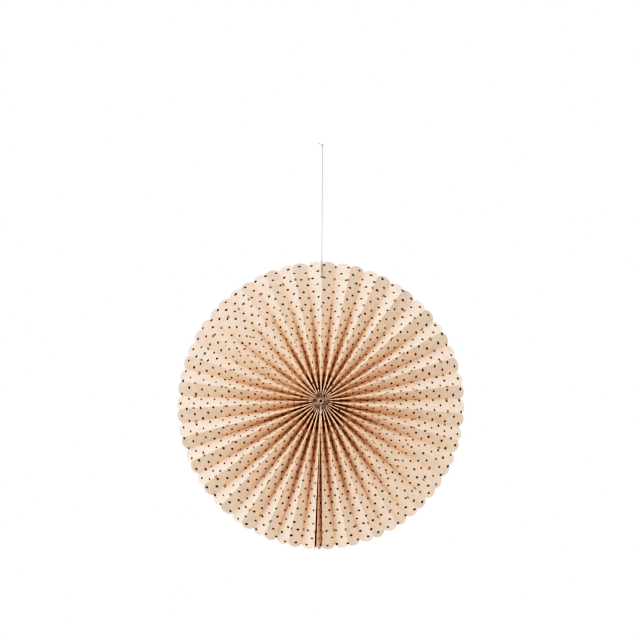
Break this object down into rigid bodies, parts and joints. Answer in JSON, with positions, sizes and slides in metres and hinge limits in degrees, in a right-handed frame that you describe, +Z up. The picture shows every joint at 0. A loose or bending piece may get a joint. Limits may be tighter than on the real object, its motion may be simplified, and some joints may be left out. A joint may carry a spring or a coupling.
{
  "type": "paper fan rosette",
  "caption": "Round hanging paper fan: a printed sheet pleated into a full circle, notched along its folds, scalloped at the rim and hung from a thread.",
  "frame": {"origin": "centre of the fan at its hub, half way through its depth", "axes": "+Z up towards the hanging thread, -Y out of the fan's front, +X to the right seen from the front"},
  "size_m": [0.2994, 0.0168, 0.4323],
  "materials": {
    "printed_paper": "matt cream paper printed with small dark dots",
    "clear_glue": "set clear glue",
    "grey_thread": "twisted sewing thread"
  },
  "bodies": {
    "root": {"pleated_paper": "printed_paper", "hub_glue": "clear_glue", "thread_tie": "grey_thread", "tie_knot": "grey_thread", "hanging_thread": "grey_thread", "top_knot": "grey_thread"}
  },
  "joints": []
}
